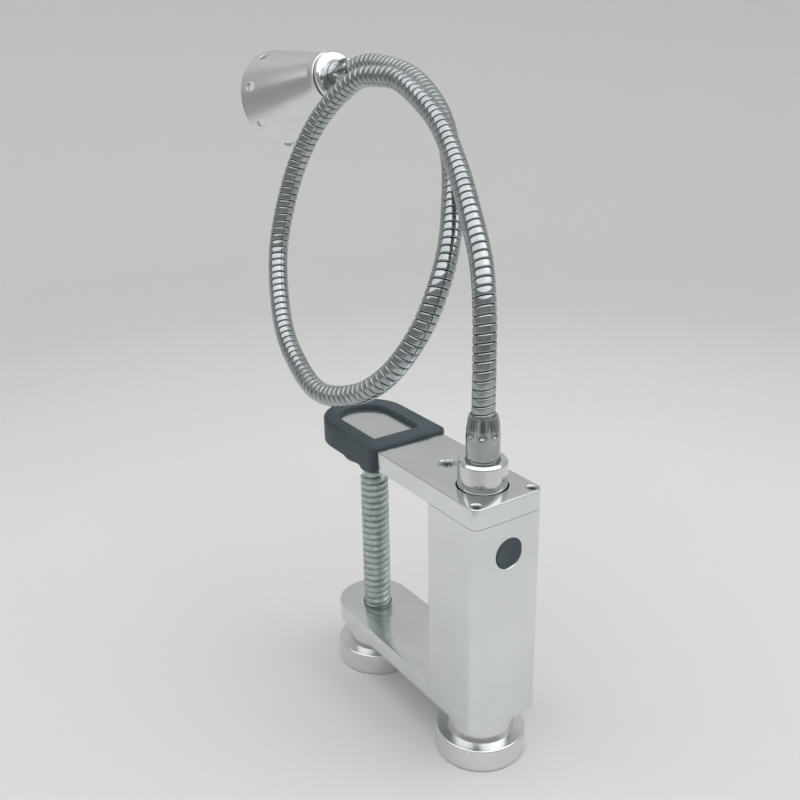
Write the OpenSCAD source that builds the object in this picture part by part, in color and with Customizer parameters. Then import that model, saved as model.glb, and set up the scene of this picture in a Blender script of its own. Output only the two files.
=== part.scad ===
// Clamp-on battery lamp: a C-shaped clamp on a box column, a looped gooseneck and a conical lamp head.
// Millimetres, +Z up. The axis of the battery in the column is the Z axis, the jaws reach towards -X,
// and both knobs stand on z = 0.

/* [Clamp frame] */
// Width of the jaws and of the column, along Y
frame_w = 32; // [30:0.5:36]
// Length of the column's section, along X
column_l = 29; // [28:0.5:34]
// Height of the column between the two jaw plates
column_h = 80; // [80:1:95]
// Thickness of each jaw plate
plate_t = 8; // [8:0.5:10]
// How far the column's section is centred from the battery's axis, away from the clamp screw
column_shift = 0.6; // [0:0.1:1]
// Rounding of the column's outer vertical edges
outer_edge_r = 3.4; // [3:0.1:5]
// Rounding of the column's edges inside the clamp
inner_edge_r = 1.5; // [1:0.5:3]
// Distance from the battery's axis to the clamp screw
reach = 75.5; // [70:0.5:90]
// How far the jaws' round ends are centred beyond the clamp screw
jaw_overhang = 2; // [0:0.5:4]

/* [Knobs] */
// Diameter of a knob's grip disc
knob_d = 36; // [34:0.5:42]
// Height of a knob's grip disc
knob_disc_h = 9.8; // [9:0.2:12]
// Diameter of the boss above the grip disc
knob_boss_d = 26.5; // [26.5:0.5:30]
// Height of a whole knob
knob_h = 19.7; // [19.7:0.1:22]

/* [Clamp screw] */
// Diameter over the thread's crests
thread_d = 12; // [11:0.5:12]
// Pitch of the thread
thread_pitch = 3; // [2:0.5:4]
// Depth of the thread
thread_depth = 1.25; // [1:0.05:1.4]
// Diameter of the swivel foot's face
foot_d = 26; // [22:1:30]
// Height of the swivel foot
foot_h = 11.5; // [10.5:0.5:12]

/* [Jaw pad] */
// Thickness of the rubber pad's side walls
pad_wall = 2.2; // [1.5:0.1:2.5]
// Thickness of the pad above the jaw
pad_top = 1.7; // [1.5:0.1:3]
// Thickness of the pad under the jaw
pad_floor = 1.5; // [1:0.1:2.5]
// How far the pad's round end is centred beyond the jaw's
pad_overhang = 3; // [2:0.5:4]
// Distance from the clamp screw to the pad's straight edge
pad_reach = 27.5; // [24:0.5:32]
// Half width of the window in the pad's top
window_r = 11.3; // [9:0.1:12]

/* [Battery and button] */
// Diameter of the battery cell
cell_d = 18.4; // [18:0.1:18.6]
// Length of the battery cell with its contact nub
cell_l = 65.2; // [64:0.1:65.2]
// Diameter of the push button
button_d = 11.8; // [11:0.2:13]
// Height of the button's centre below the upper jaw
button_drop = 13.6; // [12:0.2:15]
// Travel of the button
button_travel = 1.2; // [0.8:0.1:1.2]

/* [Gooseneck] */
// Diameter over the gooseneck's ribs
neck_d = 8.7; // [8:0.1:9]
// Depth of the groove between two ribs
rib_depth = 0.6; // [0.4:0.1:0.8]
// Diameter of the gooseneck's bore
neck_bore_d = 5; // [4:0.1:5.5]
// Number of ribs along the whole gooseneck
rib_count = 200; // [160:1:200]
// Diameter of the collar under the gooseneck
collar_d = 18.7; // [18:0.1:19.6]
// Height of the collar above the upper jaw
collar_h = 10.5; // [8:0.5:12]
// Distance from the battery's axis to the collar's, towards the clamp screw
collar_offset = 0.9; // [0:0.1:1.5]
// Diameter of a ferrule's thick end
ferrule_d = 12.6; // [12:0.1:13]
// Length of a ferrule
ferrule_l = 21; // [20:0.5:24]

/* [Lamp head] */
// Diameter of the cone's mouth
mouth_d = 51; // [48:0.5:54]
// Diameter of the cone's small end
small_end_d = 25.2; // [25:0.1:26]
// Length of the cone, without the ring at its small end
cone_l = 45; // [45:0.5:48]
// Thickness of the cone's wall at the mouth
cone_wall = 1.6; // [1.2:0.1:2]
// Number of holes around the mouth
vent_count = 8; // [6:1:10]
// Diameter of each hole
vent_d = 5; // [4:0.25:6]

/* [Hidden] */
$fn = 64;

// Levels
gap = 0.3;
slip = 0.1;
head_room = 0.5;
eps = 0.05;
lower_z = knob_h + gap;
column_z = lower_z + plate_t;
upper_z = column_z + column_h;
top_z = upper_z + plate_t;
jaw_end_x = -reach - jaw_overhang;
outer_x = column_l / 2 + column_shift;
inner_x = outer_x - column_l;

// Colours
satin_aluminium = [0.80, 0.81, 0.81];
polished_aluminium = [0.86, 0.87, 0.88];
chrome = [0.62, 0.64, 0.66];
zinc = [0.58, 0.61, 0.60];
dark_steel = [0.35, 0.36, 0.37];
black_rubber = [0.16, 0.18, 0.20];
circuit_green = [0.10, 0.35, 0.20];
brass = [0.80, 0.65, 0.30];
lead_grey = [0.30, 0.30, 0.32];

// Countersunk screws: head radius, shank radius and length under the top of the head
corner_screw = [2.45, 1.5, 14];
jaw_plate_screw = [3.7, 2, 7.4];
corner_screw_x = outer_x - 3.25;
corner_screw_y = frame_w / 2 - 3.15;
jaw_screw_x = -22.7;
socket_share = 0.55;

// Battery bay and its cap
bay_r = cell_d / 2 + 0.6;
cell_z = lower_z + 3.5;
cell_top = cell_z + cell_l;
nub_h = 0.8;
nub_r = 2.75;
contact_t = 0.6;
contact_r = 4;
driver_z = cell_top + slip + contact_t;
driver_t = 1.6;
driver_r = bay_r + 0.6;
wire_hole_r = 0.6;
shelf_r = driver_r + slip;
cap_bore_r = 11.9;
spigot_r = cap_bore_r - slip;
spigot_top = column_z - 1;
hollow_r = 10;
hollow_z = 11;
seal_r = 0.45;
seal_z = spigot_top - 1.9;
cap_contact_r = hollow_r - 0.5;
cap_contact_t = 0.8;
cap_contact_z = hollow_z + gap;
spring_wire_r = 0.45;
spring_r = 5;
spring_turns = 5;

// Button and switch, along X from the column's outer face
button_z = upper_z - button_drop;
button_proud = 0.3;
button_t = 2.2;
button_inner_x = outer_x + button_proud - button_t;
stem_r = 2.5;
stem_l = 2;
stem_x = button_inner_x - stem_l;
pocket_x = button_inner_x - button_travel - slip;
plunger_x = stem_x - button_travel - 2 * slip;
plunger_r = 1.7;
plunger_l = 1;
switch_w = 6;
switch_t = 3.4;
board_t = 1.2;
switch_x = plunger_x - plunger_l - switch_t;
board_w = 12;
board_rise = 8;
board_top = button_z + board_rise;

// Clamp foot, screw and knob
foot_top = upper_z - pad_floor - gap;
foot_z = foot_top - foot_h;
foot_flange_h = 5;
foot_hub_r = 6.2;
stud_r = 4;
stud_h = 6.5;
web_t = 1.3;
screw_shoulder = foot_z - 0.4;
stud_top = screw_shoulder + stud_h;
foot_screw_head_r = 3.8;
foot_screw_head_h = 2;
foot_screw_r = 2;
foot_screw_l = 8.6;
spindle_r = 5;
spindle_z = 10.2;
bolt_head_r = 5;
bolt_head_h = 6;
bolt_head_z = 1;
bolt_r = 3;
bolt_top = knob_h + 4;
hole_r = thread_d / 2 + 0.25;

// Window in the jaw pad
window_shift = 1.5;
window_bar = 9.5;

// Collar and ferrules
collar_x = -collar_offset;
collar_gap = 0.5;
flange_r = 12.2;
flange_h = 2.4;
pocket_r = flange_r + gap;
pocket_h = flange_h + 2 * gap;
collar_top = top_z + collar_h;
ferrule_sink = 4;
ferrule_z = collar_top - ferrule_sink;
ferrule_mouth = ferrule_z + ferrule_l;
neck_sink = 8;
shoulder_l = 5;
shoulder_drop = 0.35;
crimp_wall = 0.95;
flute_count = 8;
flute_phase = 4;
flute_r = 2.2;
flute_depth = 1;
flute_lean = 6.5;
flute_l = 6;
wire_bore_r = 3;

// Lamp head, along its own axis from the mouth of its ferrule
ring_z = 12;
ring_l = 2.8;
ring_r = small_end_d / 2 - 0.6;
cone_z = ring_z + ring_l + 0.5;
bead_l = 2.7;
cone_end = cone_z + cone_l;
led_z = cone_z + 15;
lens_z = led_z + 14.7;
lens_seat_r = 19.6;
lens_t = 2.5;
lens_ring_t = 2;
led_board_r = 11.8;
led_board_t = 1.6;
led_hole_r = 1;
led_hole_x = 8;
vent_z = cone_end - 6.5;
vent_phase = 17.5;
socket_r = ferrule_d / 2 + slip;

// Lamp head's axis: its angle below the horizontal, and from -X towards -Y
head_pitch = 16.7;
head_yaw = 6.8;
head_axis = [-cos(head_pitch) * cos(head_yaw), -cos(head_pitch) * sin(head_yaw), -sin(head_pitch)];

// Route of the gooseneck's centre line, with heights from the top of the upper jaw: up from the collar,
// once round the loop and into the lamp head
route_points = [
    [-1.2, 0.3, 46], [-5.5, 3.5, 64], [-14, 8.5, 79], [-27.5, 14, 93], [-46, 21.5, 108],
    [-67.5, 27.5, 123], [-92, 29, 134.5], [-107.5, 27.5, 136.5], [-122, 24.5, 134], [-140, 18.5, 119.5],
    [-149.5, 11, 100], [-151, 3, 78], [-145, -5, 56], [-126.5, -13.5, 32], [-104, -18, 19],
    [-82, -20, 15], [-58, -17, 21.5], [-42, -12, 34], [-34, -4.5, 50], [-33, 3, 65], [-37.5, 11.5, 79],
    [-46.5, 20, 93], [-62, 31, 108], [-86, 42.5, 123.5], [-113.5, 48.5, 135], [-139, 50, 139]
];
head_mouth = [-161, 48, top_z + 136.5];
route = concat([for (s = [-neck_sink, 0, neck_sink]) [collar_x, 0, ferrule_mouth + s]],
    [for (p = route_points) p + [0, 0, top_z]],
    [for (s = [-neck_sink, 0, neck_sink]) head_mouth + s * head_axis]);

// Last rib of each stretch of gooseneck, and the lead's rings
stretch_ends = [for (share = [0, 0.075, 0.13, 0.89, 0.94, 1]) round(share * rib_count)];
lead_r = 1.5;
lead_sides = 6;
ribs_per_lead_ring = 3;
neck_sides = 8;
ribs_per_bore_ring = 4;
route_steps = 10;

// Smooth curve through the route's points
function spline(a, b, c, d, t) =
    0.5 * (2 * b + (c - a) * t + (2 * a - 5 * b + 4 * c - d) * t * t + (3 * b - a - 3 * c + d) * t * t * t);
function route_point(i) = i < 0 ? 2 * route[0] - route[1]
    : i >= len(route) ? 2 * route[len(route) - 1] - route[len(route) - 2]
    : route[i];
curve = [
    for (i = [0 : len(route) - 2], k = [0 : route_steps - 1])
        spline(route_point(i - 1), route[i], route[i + 1], route_point(i + 2), k / route_steps),
    route[len(route) - 1]
];
last_point = len(curve) - 1;
curve_s = [for (i = 0, s = 0; i <= last_point;
    s = s + (i < last_point ? norm(curve[i + 1] - curve[i]) : 0), i = i + 1) s];
neck_l = curve_s[last_point];
curve_x = [for (i = [0 : last_point]) [curve_s[i], curve[i].x]];
curve_y = [for (i = [0 : last_point]) [curve_s[i], curve[i].y]];
curve_z = [for (i = [0 : last_point]) [curve_s[i], curve[i].z]];
function neck_point(s) = [lookup(s, curve_x), lookup(s, curve_y), lookup(s, curve_z)];

// Rings of the gooseneck, two to a rib, each with a side direction carried along without twist
function unit(v) = v / norm(v);
function square_to(v, t) = unit(v - (v * t) * t);
ring_count = 2 * rib_count + 1;
neck_points = [for (i = [0 : ring_count - 1]) neck_point(neck_l * i / (ring_count - 1))];
neck_tangents = [for (i = [0 : ring_count - 1])
    unit(neck_points[min(i + 1, ring_count - 1)] - neck_points[max(i - 1, 0)])];
neck_across = [for (i = 0, u = square_to([1, 0, 0], neck_tangents[0]); i < ring_count;
    i = i + 1, u = i < ring_count ? square_to(u, neck_tangents[i]) : u) u];
function ring_points(centres, tangents, across, i, r, sides) =
    let (beside = cross(tangents[i], across[i]))
        [for (k = [0 : sides - 1], angle = 360 * k / sides)
            centres[i] + r * (cos(angle) * across[i] + sin(angle) * beside)];
function neck_ring(i, r, sides) = ring_points(neck_points, neck_tangents, neck_across, i, r, sides);
function rib_steps(first_rib, last_rib, step) =
    [for (k = [0 : ceil((last_rib - first_rib) / step)]) min(first_rib + k * step, last_rib)];

// Least distance between two strands of the gooseneck, measured between centre points well apart along it
strand_skip = 30;
neck_gap = min([for (i = [0 : 2 : ring_count - 1], j = [i + strand_skip : 2 : ring_count - 1])
    norm(neck_points[i] - neck_points[j])]) - neck_d;
echo(neck_length = neck_l, neck_gap = neck_gap);

// Faces of a skin over rings of points, and of the fan that closes a tube's end
function skin_faces(first, rings, sides, outward) = [
    for (i = [0 : rings - 2], k = [0 : sides - 1])
        let (a = first + i * sides + k, b = first + i * sides + (k + 1) % sides, c = a + sides, d = b + sides)
            each outward ? [[a, c, b], [b, c, d]] : [[a, b, c], [b, d, c]]
];
function end_fans(rings, sides) = let (last = (rings - 1) * sides)
    [for (k = [1 : sides - 2]) each [[0, k, k + 1], [last, last + k + 1, last + k]]];
function rim_faces(outer, inner, sides, at_start) = [
    for (k = [0 : sides - 1])
        let (a = outer + k, b = outer + (k + 1) % sides, c = inner + k, d = inner + (k + 1) % sides)
            each at_start ? [[a, b, c], [b, d, c]] : [[a, c, b], [b, c, d]]
];

// One stretch of ribbed gooseneck with its bore, from one rib to another
module gooseneck_stretch(first_rib, last_rib) {
    outer_rings = [for (i = [2 * first_rib : 2 * last_rib])
        neck_ring(i, neck_d / 2 - (i % 2 == 0 ? rib_depth : 0), neck_sides)];
    bore_rings = [for (rib = rib_steps(first_rib, last_rib, ribs_per_bore_ring))
        neck_ring(2 * rib, neck_bore_d / 2, neck_sides)];
    points = [for (ring = outer_rings) each ring, for (ring = bore_rings) each ring];
    bore_start = len(outer_rings) * neck_sides;
    faces = concat(
        skin_faces(0, len(outer_rings), neck_sides, true),
        skin_faces(bore_start, len(bore_rings), neck_sides, false),
        rim_faces(0, bore_start, neck_sides, true),
        rim_faces((len(outer_rings) - 1) * neck_sides, bore_start + (len(bore_rings) - 1) * neck_sides,
            neck_sides, false));
    polyhedron(points, faces);
}

// One stretch of the lead inside the gooseneck
module lead_stretch(first_rib, last_rib) {
    rings = [for (rib = rib_steps(first_rib, last_rib, ribs_per_lead_ring))
        neck_ring(2 * rib, lead_r, lead_sides)];
    points = [for (ring = rings) each ring];
    polyhedron(points, concat(skin_faces(0, len(rings), lead_sides, true), end_fans(len(rings), lead_sides)));
}

// Outline shared by the column and the plates' outer ends
module outer_end(length) {
    inner_w = frame_w - 2 * outer_edge_r;
    translate([outer_x - length, -frame_w / 2]) square([length - outer_edge_r, frame_w]);
    translate([outer_x - outer_edge_r, -inner_w / 2]) square([outer_edge_r, inner_w]);
    for (side = [-1, 1])
        translate([outer_x - outer_edge_r, side * inner_w / 2]) circle(outer_edge_r);
}

module column_outline() {
    inner_w = frame_w - 2 * inner_edge_r;
    outer_end(column_l - inner_edge_r);
    translate([inner_x, -inner_w / 2]) square([inner_edge_r, inner_w]);
    for (side = [-1, 1])
        translate([inner_x + inner_edge_r, side * inner_w / 2]) circle(inner_edge_r);
}

module jaw_outline() {
    outer_end(outer_x);
    tongue(jaw_end_x, 0, frame_w / 2);
}

// Tongue with one round end, from the end's centre to a straight edge
module tongue(end_x, edge_x, r) {
    translate([end_x, -r]) square([edge_x - end_x, 2 * r]);
    translate([end_x, 0]) circle(r);
}

// Countersunk socket screw with the top of its head at z = 0, and the hole that takes it
module countersunk(size, room) {
    head_h = size[0] - size[1];
    rotate_extrude() polygon([
        [0, room], [size[0] + room, room], [size[0] + room, 0], [size[1] + room, -head_h],
        [size[1] + room, -size[2] - room], [0, -size[2] - room]
    ]);
}

module socket_screw(size) {
    difference() {
        countersunk(size, 0);
        translate([0, 0, -size[1]]) cylinder(r = size[0] * socket_share, h = size[1] + 1, $fn = 6);
    }
}

module at_corner_screws() {
    for (side = [-1, 1]) translate([corner_screw_x, side * corner_screw_y, 0]) children();
}

module at_top_corners() {
    at_corner_screws() translate([0, 0, top_z]) children();
}

module at_bottom_corners() {
    at_corner_screws() translate([0, 0, lower_z]) mirror([0, 0, 1]) children();
}

module column_housing() {
    color(satin_aluminium) difference() {
        translate([0, 0, column_z]) linear_extrude(column_h) column_outline();
        translate([0, 0, column_z - 1]) cylinder(r = bay_r, h = column_h + 2);
        translate([0, 0, driver_z]) cylinder(r = shelf_r, h = upper_z - driver_z + 1);
        translate([pocket_x, 0, button_z]) rotate([0, 90, 0]) cylinder(r = button_d / 2 + slip, h = outer_x);
        translate([0, 0, button_z]) rotate([0, 90, 0]) cylinder(r = stem_r + 1, h = outer_x);
        at_top_corners() countersunk(corner_screw, eps);
        at_bottom_corners() countersunk(corner_screw, eps);
    }
}

module top_plate() {
    color(satin_aluminium) difference() {
        translate([0, 0, upper_z]) linear_extrude(plate_t) jaw_outline();
        translate([collar_x, 0, upper_z - 1]) cylinder(r = collar_d / 2 + collar_gap, h = plate_t + 2);
        translate([collar_x, 0, upper_z - 1]) cylinder(r = pocket_r, h = pocket_h + 1);
        at_top_corners() countersunk(corner_screw, eps);
        translate([jaw_screw_x, 0, top_z]) countersunk(jaw_plate_screw, eps);
    }
}

module bottom_plate() {
    color(satin_aluminium) difference() {
        translate([0, 0, lower_z]) linear_extrude(plate_t) jaw_outline();
        translate([0, 0, lower_z - 1]) cylinder(r = cap_bore_r, h = plate_t + 2);
        translate([-reach, 0, lower_z - 1]) cylinder(r = hole_r, h = plate_t + 2);
        at_bottom_corners() countersunk(corner_screw, eps);
    }
}

module top_plate_screws() {
    color(dark_steel) at_top_corners() socket_screw(corner_screw);
}

module bottom_plate_screws() {
    color(dark_steel) at_bottom_corners() socket_screw(corner_screw);
}

module jaw_screw() {
    color(dark_steel) translate([jaw_screw_x, 0, top_z]) socket_screw(jaw_plate_screw);
}

module jaw_pad() {
    edge_x = pad_reach - reach;
    color(black_rubber) difference() {
        translate([0, 0, upper_z - pad_floor]) linear_extrude(plate_t + pad_floor + pad_top)
            tongue(jaw_end_x - pad_overhang, edge_x, frame_w / 2 + pad_wall);
        translate([0, 0, upper_z - eps]) linear_extrude(plate_t + 2 * eps)
            tongue(jaw_end_x, 0, frame_w / 2 + eps);
        translate([0, 0, top_z]) linear_extrude(pad_top + 1)
            tongue(jaw_end_x - window_shift, edge_x - window_bar, window_r);
    }
}

module clamp_foot() {
    web_z = stud_top + gap;
    hub_h = foot_h - foot_flange_h;
    color(black_rubber) translate([-reach, 0, 0]) difference() {
        union() {
            translate([0, 0, foot_z]) cylinder(r = foot_hub_r, h = hub_h + 1);
            translate([0, 0, foot_top - foot_flange_h]) cylinder(d = foot_d, h = foot_flange_h);
        }
        translate([0, 0, foot_z - 1]) cylinder(r = stud_r + slip, h = web_z - foot_z + 1);
        translate([0, 0, foot_z]) cylinder(r = foot_screw_r + gap, h = foot_h);
        translate([0, 0, web_z + web_t]) cylinder(r = foot_screw_head_r + head_room, h = foot_h);
    }
}

module foot_screw() {
    head_z = stud_top + gap + web_t + gap;
    color(dark_steel) translate([-reach, 0, head_z]) difference() {
        union() {
            cylinder(r = foot_screw_head_r, h = foot_screw_head_h);
            translate([0, 0, -foot_screw_l]) cylinder(r = foot_screw_r, h = foot_screw_l + 1);
        }
        translate([0, 0, 0.8]) cylinder(r = foot_screw_head_r * socket_share, h = foot_screw_head_h, $fn = 6);
    }
}

// The thread's ridges stand as rings at the true pitch
module clamp_screw() {
    crest_r = thread_d / 2;
    root_r = crest_r - thread_depth;
    flat = thread_pitch / 6;
    start_z = knob_h + 0.5;
    turns = floor((screw_shoulder - 1 - start_z) / thread_pitch);
    outline = [
        [0, spindle_z], [spindle_r, spindle_z], [spindle_r, knob_h], [root_r, knob_h], [root_r, start_z],
        for (i = [0 : turns - 1], z = start_z + i * thread_pitch)
            each [[root_r, z], [crest_r, z + thread_pitch / 2 - flat], [crest_r, z + thread_pitch / 2 + flat],
                [root_r, z + thread_pitch - flat / 2]],
        [root_r, screw_shoulder], [stud_r, screw_shoulder], [stud_r, stud_top], [0, stud_top]
    ];
    tap_z = stud_top + 2 * gap + web_t - foot_screw_l;
    color(zinc) translate([-reach, 0, 0]) difference() {
        rotate_extrude() polygon(outline);
        translate([0, 0, tap_z]) cylinder(r = foot_screw_r, h = foot_screw_l);
        translate([0, 0, spindle_z - 1]) cylinder(r = bolt_r, h = bolt_top - spindle_z + 1);
    }
}

// Stepped knob: a grip disc under a narrower boss
module knob_body() {
    chamfer = 0.5;
    disc_r = knob_d / 2;
    boss_r = knob_boss_d / 2;
    rotate_extrude() polygon([
        [0, 0], [disc_r - chamfer, 0], [disc_r, chamfer], [disc_r, knob_disc_h - chamfer],
        [disc_r - chamfer, knob_disc_h], [boss_r, knob_disc_h], [boss_r, knob_h - chamfer],
        [boss_r - chamfer, knob_h], [0, knob_h]
    ]);
}

module clamp_knob() {
    color(satin_aluminium) translate([-reach, 0, 0]) difference() {
        knob_body();
        translate([0, 0, spindle_z]) cylinder(r = spindle_r, h = knob_h);
        translate([0, 0, bolt_head_z + bolt_head_h]) cylinder(r = bolt_r, h = knob_h);
        translate([0, 0, -1]) cylinder(r = bolt_head_r + head_room, h = bolt_head_z + bolt_head_h + 1);
    }
}

module knob_bolt() {
    color(dark_steel) translate([-reach, 0, bolt_head_z]) difference() {
        union() {
            cylinder(r = bolt_head_r, h = bolt_head_h);
            cylinder(r = bolt_r, h = bolt_top - bolt_head_z);
        }
        translate([0, 0, -1]) cylinder(r = bolt_head_r * socket_share, h = bolt_head_h / 2 + 1, $fn = 6);
    }
}

module push_button() {
    r = button_d / 2;
    face_x = outer_x + button_proud;
    color(black_rubber) translate([0, 0, button_z]) rotate([0, 90, 0]) rotate_extrude() polygon([
        [0, stem_x], [stem_r, stem_x], [stem_r, button_inner_x], [r, button_inner_x],
        [r, outer_x], [r - button_proud, face_x], [0, face_x]
    ]);
}

module switch_body() {
    color(dark_steel) translate([switch_x, 0, button_z]) {
        translate([0, -switch_w / 2, -switch_w / 2]) cube([switch_t, switch_w, switch_w]);
        rotate([0, 90, 0]) cylinder(r = plunger_r, h = plunger_x - switch_x);
    }
}

module switch_board() {
    board_z = driver_z + driver_t;
    color(circuit_green) translate([switch_x - board_t, -board_w / 2, board_z])
        cube([board_t, board_w, board_top - board_z]);
}

module driver_board() {
    color(circuit_green) difference() {
        translate([0, 0, driver_z]) cylinder(r = driver_r, h = driver_t);
        for (side = [-1, 1])
            translate([-driver_r / 2, side * driver_r / 4, driver_z - 1])
                cylinder(r = wire_hole_r, h = driver_t + 2);
    }
}

module positive_contact() {
    color(brass) translate([0, 0, driver_z - contact_t]) cylinder(r = contact_r, h = contact_t);
}

module battery_cell() {
    color([0.25, 0.45, 0.65]) {
        translate([0, 0, cell_z]) cylinder(d = cell_d, h = cell_l - nub_h);
        translate([0, 0, cell_z]) cylinder(r = nub_r, h = cell_l);
    }
}

module battery_cap() {
    color(satin_aluminium) difference() {
        union() {
            knob_body();
            translate([0, 0, knob_disc_h]) cylinder(r = spigot_r, h = spigot_top - knob_disc_h);
        }
        translate([0, 0, hollow_z]) cylinder(r = hollow_r, h = spigot_top);
        translate([0, 0, seal_z - 1.4 * seal_r]) difference() {
            cylinder(r = spigot_r + 1, h = 2.8 * seal_r);
            translate([0, 0, -1]) cylinder(r = spigot_r - 2 * seal_r, h = 2.8 * seal_r + 2);
        }
    }
}

module cap_seal() {
    color(black_rubber) translate([0, 0, seal_z]) rotate_extrude()
        translate([spigot_r - seal_r + 0.05, 0]) circle(seal_r, $fn = 24);
}

module cap_contact() {
    color(brass) translate([0, 0, cap_contact_z]) cylinder(r = cap_contact_r, h = cap_contact_t);
}

// Coil spring between the cap's contact and the cell
module cap_spring() {
    sides = 6;
    rings_per_turn = 8;
    low_z = cap_contact_z + cap_contact_t + spring_wire_r;
    high_z = cell_z - spring_wire_r - 0.1;
    ring_total = spring_turns * rings_per_turn + 1;
    centres = [for (i = [0 : ring_total - 1])
        [spring_r * cos(360 * i / rings_per_turn), spring_r * sin(360 * i / rings_per_turn),
            low_z + (high_z - low_z) * i / (ring_total - 1)]];
    tangents = [for (i = [0 : ring_total - 1])
        unit(centres[min(i + 1, ring_total - 1)] - centres[max(i - 1, 0)])];
    across = [for (i = [0 : ring_total - 1]) square_to([centres[i].x, centres[i].y, 0], tangents[i])];
    spring_gap = min([for (i = [0 : ring_total - 1], j = [i + rings_per_turn - 2 : 1 : ring_total - 1])
        norm(centres[i] - centres[j])]) - 2 * spring_wire_r;
    echo(spring_gap = spring_gap);
    points = [for (i = [0 : ring_total - 1])
        each ring_points(centres, tangents, across, i, spring_wire_r, sides)];
    faces = concat(skin_faces(0, ring_total, sides, true), end_fans(ring_total, sides));
    color(zinc) polyhedron(points, faces);
}

module neck_collar() {
    chamfer = 1;
    flange_z = upper_z + gap;
    r = collar_d / 2;
    color(polished_aluminium) translate([collar_x, 0, 0]) difference() {
        rotate_extrude() polygon([
            [0, flange_z], [flange_r, flange_z], [flange_r, flange_z + flange_h], [r, flange_z + flange_h],
            [r, collar_top - chamfer], [r - chamfer, collar_top], [0, collar_top]
        ]);
        translate([0, 0, ferrule_z]) cylinder(r = socket_r, h = ferrule_l);
        translate([0, 0, flange_z - 1]) cylinder(r = wire_bore_r, h = ferrule_z);
    }
}

// Ferrule with its thick end at z = 0 and its fluted crimp round the gooseneck at the other end
module ferrule() {
    r = ferrule_d / 2;
    mouth_r = neck_d / 2 + crimp_wall;
    difference() {
        rotate_extrude() polygon([
            [wire_bore_r, 0], [r, 0], [r, ferrule_l - shoulder_l],
            [r - shoulder_drop, ferrule_l - 0.4 * shoulder_l], [mouth_r, ferrule_l], [wire_bore_r, ferrule_l]
        ]);
        translate([0, 0, ferrule_l - neck_sink]) cylinder(r = neck_d / 2 + eps, h = neck_sink + 1);
        for (i = [0 : flute_count - 1]) rotate(flute_phase + 360 * i / flute_count)
            translate([r + flute_r - flute_depth, 0, ferrule_l - flute_l]) rotate([0, -flute_lean, 0]) {
                cylinder(r = flute_r, h = flute_l + 1, $fn = 32);
                sphere(flute_r, $fn = 32);
            }
    }
}

module lower_ferrule() {
    color(chrome) translate([collar_x, 0, ferrule_z]) ferrule();
}

// The lamp head's own axis runs along +Z from the mouth of its ferrule
module in_head() {
    translate(head_mouth) rotate([0, 90 + head_pitch, 180 + head_yaw]) children();
}

module upper_ferrule() {
    color(chrome) in_head() translate([0, 0, ferrule_l]) mirror([0, 0, 1]) ferrule();
}

module head_ring() {
    chamfer = 0.9;
    color(polished_aluminium) in_head() rotate_extrude() polygon([
        [socket_r, ring_z], [ring_r - chamfer, ring_z], [ring_r, ring_z + chamfer],
        [ring_r, ring_z + ring_l], [socket_r, ring_z + ring_l]
    ]);
}

module lamp_cone() {
    small_r = small_end_d / 2;
    mouth_r = mouth_d / 2;
    groove_r = ring_r - 1;
    recess_z = lens_z + lens_t + lens_ring_t + 0.5;
    led_seat_r = led_board_r + 0.2;
    wall_angle = atan((mouth_r - small_r) / (cone_l - bead_l));
    vent_r = small_r + (vent_z - cone_z - bead_l) * tan(wall_angle);
    color(satin_aluminium) in_head() difference() {
        rotate_extrude() polygon([
            [0, ring_z + ring_l], [groove_r, ring_z + ring_l], [groove_r, cone_z], [small_r, cone_z],
            [small_r, cone_z + bead_l], [mouth_r, cone_end], [mouth_r - cone_wall, cone_end],
            [lens_seat_r + 1, recess_z], [lens_seat_r, recess_z], [lens_seat_r, lens_z],
            [lens_seat_r - 1, lens_z], [led_seat_r, led_z + led_board_t], [led_seat_r, led_z], [0, led_z]
        ]);
        translate([0, 0, ring_z]) cylinder(r = socket_r, h = ferrule_l - ring_z + eps);
        translate([0, 0, ring_z]) cylinder(r = wire_bore_r, h = cone_l);
        for (i = [0 : vent_count - 1]) rotate(vent_phase + 360 * i / vent_count)
            translate([vent_r, 0, vent_z]) rotate([0, 90 + wall_angle, 0])
                cylinder(d = vent_d, h = 4 * cone_wall, center = true);
    }
}

module led_board() {
    color([0.92, 0.92, 0.90]) in_head() translate([0, 0, led_z]) difference() {
        cylinder(r = led_board_r, h = led_board_t);
        for (side = [-1, 1])
            translate([side * led_hole_x, 0, -1]) cylinder(r = led_hole_r, h = led_board_t + 2);
    }
}

module led_emitter() {
    body = 5;
    body_h = 0.9;
    color([0.95, 0.85, 0.35]) in_head() translate([0, 0, led_z + led_board_t]) {
        translate([-body / 2, -body / 2, 0]) cube([body, body, body_h]);
        intersection() {
            translate([0, 0, body_h]) sphere(2);
            translate([-body, -body, 0]) cube([2 * body, 2 * body, body]);
        }
    }
}

module reflector() {
    z0 = led_z + led_board_t + 0.2;
    z1 = lens_z - 0.2;
    throat_r = 4.2;
    top_r = lens_seat_r - 1.5;
    wall = 0.8;
    color(polished_aluminium) in_head() rotate_extrude() polygon([
        [throat_r, z0], [throat_r + wall + 1.5, z0], [top_r, z1], [top_r - wall, z1]
    ]);
}

module lens() {
    color([0.85, 0.92, 0.95, 0.5]) in_head() translate([0, 0, lens_z + eps])
        cylinder(r = lens_seat_r - 0.2, h = lens_t - eps);
}

module lens_ring() {
    color(polished_aluminium) in_head() translate([0, 0, lens_z + lens_t + eps]) difference() {
        cylinder(r = lens_seat_r - eps, h = lens_ring_t);
        translate([0, 0, -1]) cylinder(r = lens_seat_r - 2, h = lens_ring_t + 2);
    }
}

module gooseneck(stretch) {
    color(chrome) gooseneck_stretch(stretch_ends[stretch - 1], stretch_ends[stretch]);
}

module lead(stretch) {
    color(lead_grey) lead_stretch(stretch_ends[stretch - 1], stretch_ends[stretch]);
}

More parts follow.
